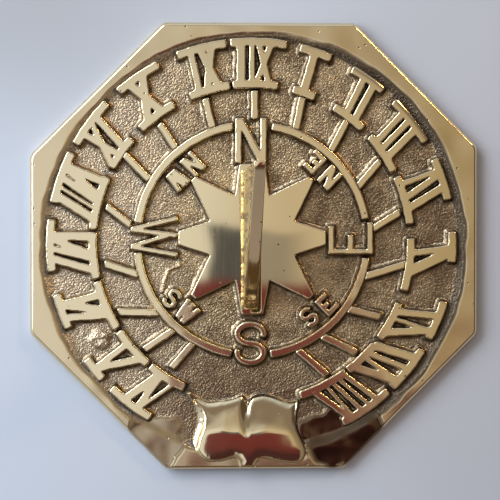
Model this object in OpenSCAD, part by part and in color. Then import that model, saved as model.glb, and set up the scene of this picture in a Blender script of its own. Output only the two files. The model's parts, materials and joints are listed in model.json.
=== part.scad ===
// Octagonal cast brass garden sundial, about eight inches across, lying face up.
// Millimetres. Z up, +Y is the north side of the dial, +X the east side.
// The back of the plate is the plane z = 0. The gnomon rises toward the north.

/* [Plate] */

// Plate size across the north and south sides
across = 200; // [198:0.5:206]
// Thickness of the sunk ground of the plate
ground_t = 3.2; // [2.8:0.1:4.4]
// Height of the rim above the sunk ground
rim_h = 1.6; // [1.0:0.1:2.0]
// Radius of the eight rounded corners
corner_r = 5; // [3:0.5:7]
// Height of the bevel round the upper edge of the rim
bevel_h = 1.5; // [0.8:0.1:1.8]
// Width of the bevel round the upper edge of the rim
bevel_w = 1.1; // [0.6:0.1:1.4]
// Narrowest width of the rim, at the middle of a side
rim_w = 4.4; // [3.8:0.1:5]

/* [Relief] */

// Height of the letters, lines and numerals above the ground
relief_h = 2.5; // [2.2:0.1:3.2]
// Width of each hour line
line_w = 3.2; // [2.4:0.1:3.6]
// Width of the chapter ring
ring_w = 3.4; // [2.6:0.1:3.8]
// Length of the hour lines, from the chapter ring to the numerals
line_l = 16.2; // [12:0.1:18]
// Height of the numerals
num_h = 22.5; // [20:0.1:24]
// Gap between the numerals and the rim
num_gap = 3.2; // [2.5:0.1:4]
// Width of the long serif bars of the numerals
serif_w = 3.7; // [3:0.1:4.2]

/* [Compass rose] */

// Gap between the four diagonal points and the middle of the chapter ring
tip_gap = 14.2; // [13.5:0.1:16]
// Gap between the north arm and the letter N
arm_gap = 0.5; // [0.3:0.1:3]
// Radius to the eight inner corners
rose_in = 20.3; // [18:0.1:22]
// Half width of the blunt end of a diagonal point
rose_blunt = 1.4; // [0.8:0.1:2]

/* [Gnomon] */

// Latitude the dial is made for, the slope of the gnomon
lat = 54; // [52:0.25:56]
// Thickness of the gnomon at its foot
gn_base = 6.6; // [6.2:0.1:7.4]
// Thickness of the gnomon along the top of the style
gn_top = 4.8; // [3.8:0.1:5.4]
// Distance from the tip of the gnomon back to the end of the north arm
gn_back = 1.8; // [0.5:0.1:6]
// Length of the short flat on the tip
gn_flat = 2.9; // [1:0.1:5]
// Lean of the back edge of the gnomon, from foot to tip
gn_lean = 0.8; // [0:0.1:3]
// Depth of the seat the gnomon stands in
seat_d = 1.2; // [0.8:0.1:1.5]

/* [Screws] */

// Diameter of the two countersunk screws
screw_d = 4; // [3:0.1:4.2]
// Diameter of the screw heads
head_d = 7.4; // [6.8:0.1:7.8]
// Length of the screws over all
screw_l = 11.5; // [9:0.5:14]

/* [Hidden] */

$fn = 96;
seat = 0.05;
dial_x = -1.1;
gn_x = -1.9;
ring_y = 2.6;
rose_y = 3.6;
band_y = 1.1;
drawn_lat = 54;
drawn_r = 95.2;
brass = [0.80, 0.68, 0.42];
dull = [0.50, 0.43, 0.33];
steel = [0.72, 0.62, 0.38];

rim_z = ground_t + rim_h;
top_z = ground_t + relief_h;

// The face is laid out from the rim inward. The sunk ground is round, and
// leaves a little more than the narrowest rim.
ground_r = across / 2 - rim_w - 0.4;
num_out = ground_r - num_gap;
num_in = num_out - num_h;
ring_r = num_in - line_l - ring_w / 2;

// The large letters: letter, width, height, stroke, distance of the middle
// inside the chapter ring, offset sideways, direction from the middle.
big = [
    ["N", 14, 20, 2.8, 7.1, -0.6, 0], ["E", 14.2, 20.2, 2.6, 7.5, 0.8, 90],
    ["S", 14.2, 19.6, 2.4, 5.4, -0.9, 180], ["W", 17, 20.6, 2.1, 7.8, 1.5, 270]];
rose_tip = ring_r - tip_gap;
rose_arm = ring_y + ring_r - big[0][4] - big[0][2] / 2 - arm_gap - rose_y;
rose_long = 1.2;

// The gnomon stands on the rose, its foot on the south arm.
foot_y = rose_y - rose_arm;
gn_tip = rose_y + rose_arm - gn_back;
screw_y = [foot_y + 23.4, gn_tip - 12.8];
hole_r = screw_d / 2 + seat;
head_h = (head_d - screw_d) / 2;
slot_w = 1.0;
slot_d = 0.9;

// Each side of the octagon: direction of its normal, distance from the middle.
side = [
    [0, across / 2 + 0.3], [45, across / 2 + 2.6], [90, across / 2], [135, across / 2 - 0.4],
    [180, across / 2 + 0.3], [225, across / 2 - 1.3], [270, across / 2], [315, across / 2 - 1.1]];

// Name, hour from noon, gap to the numeral, gap to the ring, outer serif bar,
// inner serif bar, strokes as [inner angle, outer angle, width], and the angles
// of the hour line at the chapter ring and at the numerals.
// Angles run clockwise from north about the middle of the numeral band.
hours = [
    ["iv_am", -8, 3.0, 0, [-149.7, -135.8], [-154.8, -140.2],
        [[-151.2, -145.2, 2.0], [-145.3, -145.0, 3.6], [-145.1, -140.6, 4.0]], [-149.0, -146.6]],
    ["v_am", -7, 1.7, 0, [-132.1, -124.9], [-139.0, -123.4],
        [[-136.3, -128.3, 3.6], [-128.8, -128.6, 3.1]], [-137.4, -134.2]],
    ["vi_am", -6, 2.2, 0, [-114.7, -104.6], [-122.2, -103.8],
        [[-116.4, -111.6, 3.6], [-114.9, -107.5, 4.0], [-108.8, -107.9, 3.6]], [-125.5, -116.0]],
    ["vii_am", -5, 2.8, 0, [-98.0, -83.2], [-102.8, -86.1],
        [[-99.7, -94.1, 3.7], [-95.6, -91.3, 3.1], [-94.5, -88.3, 3.6], [-87.5, -87.9, 4.0]],
        [-104.9, -96.6]],
    ["viii_am", -4, 2.1, 1.3, [-78.4, -63.4], [-85.0, -65.4],
        [[-81.2, -76.1, 4.2], [-77.9, -73.4, 2.0], [-75.0, -70.7, 3.8], [-73.0, -67.8, 3.6],
        [-67.6, -67.5, 4.0]], [-82.3, -74.9]],
    ["ix", -3, 0, 0, [-60.7, -46.0], [-61.8, -49.1],
        [[-61.0, -53.0, 3.1], [-56.4, -57.0, 3.3], [-53.4, -51.0, 3.6]], [-58.5, -55.2]],
    ["x", -2, 1.8, 0, [-41.4, -27.7], [-44.4, -29.3],
        [[-40.6, -33.1, 4.0], [-34.3, -37.8, 4.0]], [-39.0, -37.7]],
    ["xi", -1, 1.3, 0, [-21.8, -7.4], [-23.1, -8.0],
        [[-19.2, -17.8, 3.1], [-16.4, -11.7, 3.6], [-11.8, -15.3, 3.6]], [-19.1, -17.9]],
    ["xii", 0, 0.9, 0.9, [-6.3, 10.0], [-7.0, 9.4],
        [[-4.0, -3.2, 3.9], [-0.2, -0.1, 2.7], [1.2, 5.6, 2.9], [6.2, 1.6, 2.9]], [1.2, 0.8]],
    ["i", 1, 0.3, 0, [13.7, 23.1], [14.8, 23.2],
        [[18.8, 18.2, 3.9]], [21.2, 18.9]],
    ["ii", 2, 0, 0, [29.8, 40.5], [30.8, 43.9],
        [[36.1, 34.1, 3.3], [39.8, 37.4, 3.6]], [40.7, 37.6]],
    ["iii", 3, 1.0, 0, [44.9, 59.7], [47.7, 63.0],
        [[50.8, 49.2, 3.1], [54.0, 51.9, 3.2], [57.6, 54.9, 3.8]], [61.9, 56.9]],
    ["iv_pm", 4, 1.5, 1.2, [65.2, 77.4], [65.2, 83.0],
        [[68.4, 68.7, 2.5], [73.8, 69.7, 3.3], [77.7, 73.4, 3.8]], [83.7, 77.5]],
    ["v_pm", 5, 0, 0, [86.7, 95.5], [88.3, 107.3],
        [[93.7, 91.3, 2.9], [100.5, 92.1, 4.9]], [106.0, 97.8]],
    ["vi_pm", 6, 3.0, 0, [107.0, 118.4], [112.2, 126.6],
        [[115.6, 111.3, 3.3], [118.1, 115.9, 2.0], [124.6, 115.5, 3.5]], [123.9, 119.3]],
    ["vii_pm", 7, 1.5, 0, [122.0, 135.9], [129.6, 142.9],
        [[130.0, 125.1, 4.1], [133.6, 128.7, 2.9], [135.6, 133.3, 2.4], [141.2, 133.2, 3.8]],
        [142.3, 135.8]],
    ["viii_pm", 8, 1.5, 0, [137.4, 153.2], [144.0, 162.6],
        [[145.2, 141.2, 2.5], [147.8, 143.9, 2.0], [150.4, 146.4, 2.2], [152.9, 149.6, 1.8],
        [158.2, 150.2, 3.1]], [156.1, 149.9]]];

// Arcs of the chapter ring, clockwise from north.
arcs = [["ne", 9.8, 79.5], ["se", 99.0, 171.0], ["sw", 190.5, 263.8], ["nw", 278.6, 350.3]];

// Small letters: corner, letter, width, height, stroke, angle of the middle about
// the chapter ring, gap between the feet and the ring, direction of the feet.
small = [
    ["ne", "E", 6.8, 9.5, 2.2, 38.4, 0.45, 45], ["ne", "N", 7.0, 9.8, 2.1, 51.2, 0.5, 45],
    ["se", "S", 6.4, 9.2, 1.8, 143.5, 2.5, 135], ["se", "E", 6.8, 9.2, 2.2, 130.4, 1.2, 135],
    ["sw", "S", 6.4, 9.2, 1.8, 233.9, 0.9, 225], ["sw", "W", 6.8, 9.4, 2.2, 222.3, 1.7, 225],
    ["nw", "N", 7.0, 9.9, 2.1, 322.0, 1.9, 315], ["nw", "W", 6.2, 8.8, 2.2, 309.0, 2.5, 315]];

// Outline of the bare cartouche on the south side, for a signature or a motto,
// as drawn for a sunk ground of radius drawn_r.
south_y = -side[6][1] * drawn_r / ground_r;
drawn_scroll = [
    [-29.8, -65.6], [-27.0, -67.6], [-24.0, -69.4], [-21.0, -70.3], [-15.0, -70.0], [-10.0, -69.2],
    [-7.0, -67.8], [-5.2, -67.2], [-4.0, -68.5], [-3.5, -71.0], [-3.2, -74.2], [-2.5, -71.0],
    [-1.5, -68.5], [0.5, -67.3], [4.0, -66.8], [8.0, -67.7], [12.0, -69.5], [15.5, -71.1],
    [19.3, -69.5], [18.0, -72.5], [17.6, -75.5], [17.8, -79.0], [19.0, -83.5], [21.0, -87.5],
    [22.5, -91.0], [22.3, -95.0], [20.5, -96.8], [17.5, -97.6], [13.0, -97.1], [8.0, -96.0],
    [4.0, -95.0], [2.0, -95.3], [0.7, -97.0], [0.1, south_y], [-6.7, south_y], [-7.0, -97.0],
    [-8.0, -95.2], [-9.5, -94.6], [-13.0, -95.8], [-17.0, -96.7], [-20.0, -97.2], [-23.0, -96.6],
    [-25.5, -94.8], [-27.2, -92.0], [-27.0, -88.5], [-25.6, -84.5], [-24.2, -80.5], [-23.9, -77.0],
    [-25.0, -73.0], [-27.2, -69.5]];
scroll = drawn_scroll * ground_r / drawn_r;

function polar(r, a, cy) = [dial_x + r * sin(a), cy + r * cos(a)];
function unit(v) = v / norm(v);

// Corner between two neighbouring sides, both moved inward by k.
function corner(i, k) =
    let(a = side[i], b = side[(i + 1) % 8], p = a[1] - k, q = b[1] - k, d = sin(b[0] - a[0]))
    [(p * sin(b[0]) - q * sin(a[0])) / d, (q * cos(a[0]) - p * cos(b[0])) / d];
function normal(i) = [cos(side[i % 8][0]), sin(side[i % 8][0])];

// Hour angle on a level dial, clockwise from the noon line.
function hour_angle(h, l) = atan2(sin(l) * sin(15 * h), cos(15 * h));
// Point where the hour ray from the foot of the gnomon meets a circle.
function ray_hit(h, l, r, cy) =
    let(u = [sin(hour_angle(h, l)), cos(hour_angle(h, l))], f = [0, foot_y - cy],
        b = u * f, s = -b + sqrt(b * b - f * f + r * r))
    [dial_x + s * u[0], foot_y + s * u[1]];
function band_angle(h, l) =
    let(p = ray_hit(h, l, num_in, band_y)) atan2(p[0] - dial_x, p[1] - band_y);
// Turn of a numeral and its line when the latitude differs from the one it was drawn for.
function turn(h) = band_angle(h, lat) - band_angle(h, drawn_lat);

function ell(a, b, t, c) = [a * cos(t), c + b * sin(t)];

module bar(p, q, w) {
    u = unit(q - p);
    n = [-u[1], u[0]] * w / 2;
    polygon([p + n, p - n, q - n, q + n]);
}

// Serif bar of a numeral, bent along the band from angle a0 to a1.
module serif(r0, r1, a0, a1) {
    n = ceil((a1 - a0) / 2.5);
    polygon(concat(
        [for (i = [0:n]) polar(r1, a0 + (a1 - a0) * i / n, band_y)],
        [for (i = [n:-1:0]) polar(r0, a0 + (a1 - a0) * i / n, band_y)]));
}

// Piece of a flat ring, from angle a0 to a1 clockwise from north.
module sector(r0, r1, a0, a1, cy, z0, z1) {
    translate([dial_x, cy, z0]) rotate([0, 0, 90 - a1])
        rotate_extrude(angle = a1 - a0) translate([r0, 0]) square([r1 - r0, z1 - z0]);
}

module relief() {
    translate([0, 0, ground_t]) linear_extrude(relief_h) children();
}

// Octagon with rounded corners, its sides moved inward by k.
module octagon(k, r) {
    polygon([for (i = [0:7]) for (j = [0, 1]) corner(i, k + r) + r * normal(i + j)]);
    for (i = [0:7]) translate(corner(i, k + r)) circle(r);
}

module dial_plate() color(dull) difference() {
    linear_extrude(rim_z) octagon(0, corner_r);
    translate([0, 0, ground_t]) intersection() {
        translate([0, band_y - 0.6, 0]) cylinder(h = rim_h + 1, r = ground_r);
        linear_extrude(rim_h + 1) octagon(rim_w, corner_r / 2);
    }
    translate([0, 0, ground_t]) linear_extrude(rim_h + 1) polygon(scroll);
    for (s = side) rotate([0, 0, s[0]]) translate([s[1], 0, rim_z - bevel_h])
        rotate([0, -atan2(bevel_w, bevel_h), 0]) translate([0, -80, -1]) cube([10, 160, 10]);
    for (y = screw_y) translate([gn_x, y, 0]) {
        translate([0, 0, -1]) cylinder(h = ground_t + 2, r = hole_r);
        translate([0, 0, 0.1]) cylinder(h = head_h, r1 = head_d / 2 + seat, r2 = hole_r);
        translate([0, 0, -1]) cylinder(h = 1.1, r = head_d / 2 + seat);
    }
}

function arm(a, r, w) = [
    polar(r, a, rose_y) + w * [-cos(a), sin(a)], polar(r, a, rose_y) + w * [cos(a), -sin(a)]];
rose_half = [5.8, rose_blunt, 3.0, rose_blunt, 4.8, rose_blunt, 3.0, rose_blunt];

module compass_rose() color(brass) difference() {
    relief() polygon([for (i = [0:7]) each concat(
        [polar(rose_in, i * 45 - (i % 2 == 0 ? 22 : 23), rose_y)],
        arm(i * 45, i % 2 == 0 ? rose_arm + (i == 4 ? rose_long : 0) : rose_tip, rose_half[i]))]);
    translate([gn_x - gn_base / 2 - seat, foot_y + 0.9 - seat, top_z - seat_d])
        cube([gn_base + 2 * seat, gn_tip - gn_lean - foot_y - 0.9 + 2 * seat, seat_d + 1]);
    for (y = screw_y) translate([gn_x, y, ground_t - 1]) cylinder(h = relief_h + 2, r = hole_r);
}

module chapter_ring(a) color(brass)
    sector(ring_r - ring_w / 2, ring_r + ring_w / 2, a[1], a[2], ring_y, ground_t, top_z);

module hour_line(h) color(brass) {
    k = turn(h[1]);
    near = polar(ring_r + ring_w / 2, h[7][0] + k, band_y);
    far = polar(num_in, h[7][1] + k, band_y);
    u = unit(far - near);
    difference() {
        intersection() {
            relief() bar(near - u * 6, far + u * 4, line_w);
            translate([dial_x, band_y, 0]) cylinder(h = top_z + 1, r = num_in - seat - h[2]);
        }
        translate([dial_x, ring_y, 0])
            cylinder(h = top_z + 1, r = ring_r + ring_w / 2 + seat + h[3]);
    }
}

module numeral(h) color(brass) {
    k = turn(h[1]);
    mid_in = num_in + serif_w / 2;
    mid_out = num_out - serif_w / 2;
    n = len(h[6]);
    union() {
        relief() serif(num_out - serif_w, num_out, h[4][0] + k, h[4][1] + k);
        relief() serif(num_in, num_in + serif_w, h[5][0] + k, h[5][1] + k);
        for (i = [0:n - 1]) relief()
            bar(polar(mid_in - 0.3 * i, h[6][i][0] + k, band_y),
                polar(mid_out + 0.3 * i, h[6][i][1] + k, band_y), h[6][i][2]);
    }
}

module shape_n(w, h, s) {
    a = w / 2;
    b = h / 2;
    d = 1.25 * s;
    k = s * h / (w - d);
    polygon([[-a, -b], [s - a, -b], [s - a, b - k], [a - d, -b], [a, -b],
        [a, b], [a - s, b], [a - s, k - b], [d - a, b], [-a, b]]);
}

module shape_e(w, h, s) {
    translate([-w / 2, -h / 2]) square([0.8 * s, h]);
    translate([-w / 2, -h / 2]) square([w, s]);
    translate([-w / 2, -s / 2]) square([0.6 * w, s]);
    translate([-w / 2, h / 2 - s]) square([0.88 * w, s]);
}

module shape_w(w, h, s) {
    t = h / 2;
    bar([-0.48 * w, t], [-0.19 * w, -t], s);
    bar([-0.19 * w, -t], [-0.03 * w, t], s);
    bar([-0.03 * w, t - 0.2 * h], [0.26 * w, -t], s);
    bar([0.26 * w, -t], [0.48 * w, t], s);
}

// The two bowls of the S end at the angle stop, measured from their middle.
module shape_s(w, h, s, stop) {
    a = (w - s) / 2;
    b = (h - s) / 4;
    up = [for (i = [0:20]) stop + (270 - stop) * i / 20];
    dn = [for (t = up) 90 + stop - t];
    polygon(concat(
        [for (t = up) ell(a + s / 2, b + s / 2, t, b)],
        [for (t = dn) ell(a - s / 2, b - s / 2, t, -b)],
        [for (i = [len(dn) - 1:-1:0]) ell(a + s / 2, b + s / 2, dn[i], -b)],
        [for (i = [len(up) - 1:-1:0]) ell(a - s / 2, b - s / 2, up[i], b)]));
}

module shape(c, w, h, s, stop = -20) {
    if (c == "N") shape_n(w, h, s);
    if (c == "E") shape_e(w, h, s);
    if (c == "S") shape_s(w, h, s, stop);
    if (c == "W") shape_w(w, h, s);
}

// Letters stand with their feet toward the edge of the plate.
module letter(l) color(brass) relief()
    translate(polar(ring_r - l[4], l[6], ring_y) + l[5] * [abs(cos(l[6])), abs(sin(l[6]))])
        rotate(180 - l[6]) shape(l[0], l[1], l[2], l[3]);
module letter_n() letter(big[0]);
module letter_e() letter(big[1]);
module letter_s() letter(big[2]);
module letter_w() letter(big[3]);

module letters(q) color(brass) relief() for (l = small) if (l[0] == q)
    translate(polar(ring_r - ring_w / 2 - l[6] - l[3] / 2, l[5], ring_y)) rotate(180 - l[7])
        shape(l[1], l[2], l[3], l[4], 8);

module cartouche() color(brass) relief() polygon(scroll);

module gnomon() color(brass) {
    toe = foot_y + 0.9;
    up = (gn_tip - gn_flat - foot_y) * tan(lat);
    back = gn_tip - gn_lean;
    difference() {
        translate([gn_x, 0, top_z]) intersection() {
            rotate([90, 0, 90]) linear_extrude(gn_base + 2, center = true) polygon([
                [toe, -seat_d], [toe, 0.9 * tan(lat)], [gn_tip - gn_flat, up], [gn_tip, up],
                [back, 0], [back, -seat_d]]);
            rotate([90, 0, 0]) linear_extrude(200, center = true) polygon([
                [-gn_base / 2, -seat_d], [gn_base / 2, -seat_d], [gn_top / 2, up],
                [-gn_top / 2, up]]);
        }
        for (y = screw_y) translate([gn_x, y, 0]) cylinder(h = screw_l + 0.6, r = hole_r);
    }
}

module gnomon_screw(y) color(steel) translate([gn_x, y, 0.1]) difference() {
    rotate_extrude() polygon([
        [0, 0], [head_d / 2, 0], [screw_d / 2, head_h], [screw_d / 2, screw_l - 0.6],
        [screw_d / 2 - 0.6, screw_l], [0, screw_l]]);
    translate([-head_d, -slot_w / 2, -1]) cube([2 * head_d, slot_w, 1 + slot_d]);
}

dial_plate();
compass_rose();
for (a = arcs) chapter_ring(a);
for (h = hours) hour_line(h);
for (h = hours) numeral(h);
letter_n();
letter_e();
letter_s();
letter_w();
for (q = ["ne", "se", "sw", "nw"]) letters(q);
cartouche();
gnomon();
gnomon_screw(screw_y[0]);  // gnomon_screw_south
gnomon_screw(screw_y[1]);  // gnomon_screw_north
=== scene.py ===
# %% [markdown]
# This lesson dresses a cast brass garden sundial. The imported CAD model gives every
# size and place, and each raised device on the face keeps its own piece here. The
# work goes from the camera to the plate, the relief, the gnomon, the finishes and
# the light. All shapes are worked out in millimetres and turned into metres last.

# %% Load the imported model
import json
import math

import bpy
import numpy as np
from mathutils import Matrix, Vector
from mathutils.geometry import delaunay_2d_cdt

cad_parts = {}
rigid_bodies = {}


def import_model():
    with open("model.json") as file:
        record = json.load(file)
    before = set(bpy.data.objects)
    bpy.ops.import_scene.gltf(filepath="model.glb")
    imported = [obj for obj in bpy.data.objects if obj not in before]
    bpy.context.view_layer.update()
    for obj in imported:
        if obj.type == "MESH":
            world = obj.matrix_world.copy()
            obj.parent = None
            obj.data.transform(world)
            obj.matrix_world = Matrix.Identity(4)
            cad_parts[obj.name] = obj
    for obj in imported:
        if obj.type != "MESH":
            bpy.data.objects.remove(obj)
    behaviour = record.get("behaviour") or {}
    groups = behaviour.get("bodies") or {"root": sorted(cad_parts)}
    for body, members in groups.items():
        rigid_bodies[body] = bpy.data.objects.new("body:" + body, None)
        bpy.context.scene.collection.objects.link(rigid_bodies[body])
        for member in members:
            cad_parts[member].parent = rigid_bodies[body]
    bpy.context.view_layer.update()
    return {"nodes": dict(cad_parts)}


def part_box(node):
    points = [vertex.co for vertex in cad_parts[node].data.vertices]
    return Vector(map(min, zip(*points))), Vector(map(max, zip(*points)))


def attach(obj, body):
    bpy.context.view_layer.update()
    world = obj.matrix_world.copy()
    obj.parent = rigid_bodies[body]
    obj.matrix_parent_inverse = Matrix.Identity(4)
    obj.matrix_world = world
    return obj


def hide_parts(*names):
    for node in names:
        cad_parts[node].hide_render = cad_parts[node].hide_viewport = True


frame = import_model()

MM = 0.001
nodes = frame["nodes"]
scene = bpy.context.scene
print("CAD nodes:", len(nodes))


# %% [markdown]
# The face is made in layers: the sunk ground, the rim above it, and one polished
# plane that every letter and numeral reaches. Their heights are read from the boxes
# of the CAD nodes, so the dressed pieces follow the CAD if a size there changes.

# %% Heights and middle lines of the casting
def box_mm(name):
    low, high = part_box(name)
    return np.array(low) / MM, np.array(high) / MM


plate_high = box_mm("dial_plate")[1]
rose_low, rose_high = box_mm("compass_rose")
gnomon_low, gnomon_high = box_mm("gnomon")
GROUND_Z = rose_low[2]
TOP_Z = rose_high[2]
RIM_Z = plate_high[2]
DIAL_X = (rose_low[0] + rose_high[0]) / 2
GNOMON_X = (gnomon_low[0] + gnomon_high[0]) / 2
print("ground, rim and relief at", GROUND_Z.round(2), RIM_Z.round(2), TOP_Z.round(2), "mm")

# %% [markdown]
# The photograph looks almost straight down from about 0.8 m, a little to the west of
# the middle, so the gnomon leans toward the top right of the picture. A camera that
# looks down needs its own upward direction, north, because the usual one is the sky.

# %% Camera
EYE = Vector((-36.5, 6.0, 794.0)) * MM
AIM = Vector((-2.2, -1.8, 5.7)) * MM
NORTH = Vector((0, 1, 0))
LENS = 127.0

forward = (AIM - EYE).normalized()
right = forward.cross(NORTH).normalized()
upward = right.cross(forward)
camera = bpy.data.objects.new("camera", bpy.data.cameras.new("camera"))
camera.matrix_world = Matrix((right, upward, -forward)).transposed().to_4x4()
camera.location = EYE
camera.data.lens = LENS
camera.data.sensor_width = 36.0
scene.collection.objects.link(camera)
scene.camera = camera


def pixel(point_mm):
    """Where a point lands in a picture of 500 by 500."""
    seen = Vector(point_mm) * MM - EYE
    size = 500 * LENS / 36.0 / seen.dot(forward)
    return round(250 + seen.dot(right) * size, 1), round(250 - seen.dot(upward) * size, 1)


print("tip of the gnomon at pixel", pixel((GNOMON_X, gnomon_high[1] - 1.5, gnomon_high[2])))


# %% [markdown]
# Sand leaves nothing quite even, so all shapes get soft random hills. A lattice of
# random numbers with smooth steps between them is enough, and numpy works it out for
# a whole grid at once. The seeds are fixed, so every run gives the same casting.

# %% Smooth steps and soft random hills
def smooth_step(value, start, end):
    t = np.clip((value - start) / (end - start), 0, 1)
    return t * t * (3 - 2 * t)


def smooth_min(a, b, blend):
    h = np.clip(0.5 + 0.5 * (b - a) / blend, 0, 1)
    return b * (1 - h) + a * h - blend * h * (1 - h)


def soft_hills(x, y, spacing, seed):
    """Random heights from -1 to 1 that change over about spacing mm."""
    reach = 130.0
    count = int(2 * reach / spacing) + 3
    lattice = np.random.default_rng(seed).uniform(-1, 1, (count, count))
    u = (np.clip(x, -reach, reach) + reach) / spacing
    v = (np.clip(y, -reach, reach) + reach) / spacing
    i = u.astype(int)
    j = v.astype(int)
    s = smooth_step(u - i, 0, 1)
    t = smooth_step(v - j, 0, 1)
    low = lattice[i, j] * (1 - s) + lattice[i + 1, j] * s
    high = lattice[i, j + 1] * (1 - s) + lattice[i + 1, j + 1] * s
    return low * (1 - t) + high * t


print("hills at the middle:", soft_hills(np.zeros(1), np.zeros(1), 5, 1).round(3))


# %% [markdown]
# Every shape needs to know how far a point is from an outline. The distance to each
# edge is simple, and counting the edges that a ray crosses tells inside from outside.
# It is positive inside, so one profile over that distance draws both wall and top.

# %% Distance from an outline
def distance_inside(x, y, edges):
    nearest = np.full(x.shape, 1e9)
    inside = np.zeros(x.shape, bool)
    for (ax, ay), (bx, by) in edges:
        dx, dy = bx - ax, by - ay
        t = np.clip(((x - ax) * dx + (y - ay) * dy) / (dx * dx + dy * dy), 0, 1)
        nearest = np.minimum(nearest, (x - ax - t * dx) ** 2 + (y - ay - t * dy) ** 2)
        if dy:
            crossed = (ay > y) != (by > y)
            inside ^= crossed & (x < ax + (y - ay) * dx / dy)
    return np.where(inside, 1, -1) * np.sqrt(nearest)


def vertices_mm(name):
    mesh = nodes[name].data
    flat = np.empty(3 * len(mesh.vertices))
    mesh.vertices.foreach_get("co", flat)
    return flat.reshape(-1, 3) / MM


def top_outline(name):
    """The edges round the flat top of a CAD node."""
    points = vertices_mm(name)
    top = points[:, 2].max()
    open_edges = set()
    for face in nodes[name].data.polygons:
        corners = [tuple(points[v].round(3)) for v in face.vertices]
        if min(c[2] for c in corners) < top - 0.01:
            continue
        for a, b in zip(corners, corners[1:] + corners[:1]):
            if (b[:2], a[:2]) in open_edges:
                open_edges.remove((b[:2], a[:2]))
            else:
                open_edges.add((a[:2], b[:2]))
    return np.array(sorted(open_edges))


print("edges round the letter S:", len(top_outline("letter_s")))


# %% [markdown]
# Meshes this large are filled from numpy arrays, because adding faces one by one is
# slow. Numbers that the finishes need, such as how polished a spot is, are kept on the
# points and read in the materials by name.

# %% Turn arrays into a mesh object
def add_piece(name, points_mm, faces, slot, **values):
    """faces is a list of arrays, each with one kind of face."""
    mesh = bpy.data.meshes.new(name)
    mesh.vertices.add(len(points_mm))
    mesh.vertices.foreach_set("co", (np.asarray(points_mm) * MM).astype(np.float32).ravel())
    corners = np.concatenate([f.ravel() for f in faces])
    sizes = np.concatenate([np.full(len(f), f.shape[1]) for f in faces])
    mesh.loops.add(len(corners))
    mesh.loops.foreach_set("vertex_index", corners.astype(np.int32))
    mesh.polygons.add(len(sizes))
    mesh.polygons.foreach_set("loop_start", np.concatenate([[0], sizes.cumsum()[:-1]]).astype(np.int32))
    mesh.update(calc_edges=True)
    mesh.shade_smooth()
    for key, value in values.items():
        mesh.attributes.new(key, "FLOAT", "POINT").data.foreach_set("value", value.astype(np.float32))
    piece = bpy.data.objects.new(name, mesh)
    scene.collection.objects.link(piece)
    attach(piece, "root")
    return piece


def grid_faces(keep):
    """Squares of a grid whose four corners are all kept, numbered over the kept points."""
    number = np.full(keep.shape, -1)
    number[keep] = np.arange(keep.sum())
    a, b, c, d = number[:-1, :-1], number[1:, :-1], number[1:, 1:], number[:-1, 1:]
    whole = (a >= 0) & (b >= 0) & (c >= 0) & (d >= 0)
    return np.stack([a[whole], b[whole], c[whole], d[whole]], axis=1)


def ring_faces(rings, around, start=0):
    """Squares between closed rings of points, each numbered on from the one before."""
    step = np.arange(around)
    quads = []
    for row in range(rings - 1):
        a, b = start + row * around + step, start + row * around + np.roll(step, -1)
        quads.append(np.stack([a, b, b + around, a + around], axis=1))
    return quads


print("faces in a 3 by 3 grid:", len(grid_faces(np.ones((3, 3), bool))))

# %% [markdown]
# The plate is an octagon with soft corners. Its eight sides are read from the CAD as
# the furthest reach in eight directions. Moved inward by the corner radius they make
# a smaller octagon, and the plate is everything within that radius of it.

# %% Outline of the plate
CORNER_R = 5.0
BEVEL_W = 1.5
BEVEL_H = 1.5
RIM_W = 4.4
GROUND_R = 95.2
GROUND_Y = 0.5

side_angles = np.radians(np.arange(0, 360, 45))
side_normals = np.stack([np.cos(side_angles), np.sin(side_angles)], axis=1)
side_reach = (vertices_mm("dial_plate")[:, :2] @ side_normals.T).max(axis=0)


def octagon_corners(inward):
    corners = []
    for i in range(8):
        pair = np.stack([side_normals[i], side_normals[(i + 1) % 8]])
        reach = np.array([side_reach[i], side_reach[(i + 1) % 8]]) - inward
        corners.append(np.linalg.solve(pair, reach))
    return np.array(corners)


core = octagon_corners(CORNER_R)
core_edges = np.stack([core, np.roll(core, -1, axis=0)], axis=1)


def edge_distance(x, y):
    """How far a point lies inside the outer edge of the plate."""
    return distance_inside(x, y, core_edges) + CORNER_R


print("sides of the plate, mm from the middle:", side_reach.round(1))

# %% [markdown]
# The sand mould had its own accidents: a lump between two numerals, a crooked vein
# by the letter W, a faint ring through the feet of the lower numerals, and two lower
# corners that were rubbed smooth. Each is a soft shape with a place and size of its own.

# %% Accidents of the casting
LUMP = (-69.3, -41.9, 4.6, 1.5)
VEIN = [(-34.7, -3.6), (-33.6, -8.9), (-38.6, -10.8), (-40.4, -15.8), (-41.4, -20.6)]
VEIN_W = 0.55
VEIN_H = 0.9
GUIDE_R = 68.0
GUIDE_Y = 1.1
GUIDE_W = 0.6
GUIDE_H = 0.16
SLICK_SPOTS = [(-44.5, -88.0, 14.0, 15.0), (39.0, -86.0, 22.0, 15.0)]


def slick(x, y):
    """1 in the lower corners that were rubbed smooth, 0 on the sandy ground."""
    mask = np.zeros(x.shape)
    ragged = 0.18 * soft_hills(x, y, 5, 31)
    for sx, sy, wide, high in SLICK_SPOTS:
        depth = 1.0 - np.hypot((x - sx) / wide, (y - sy) / high)
        mask = np.maximum(mask, smooth_step(depth + ragged, 0, 0.22))
    return mask


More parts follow.
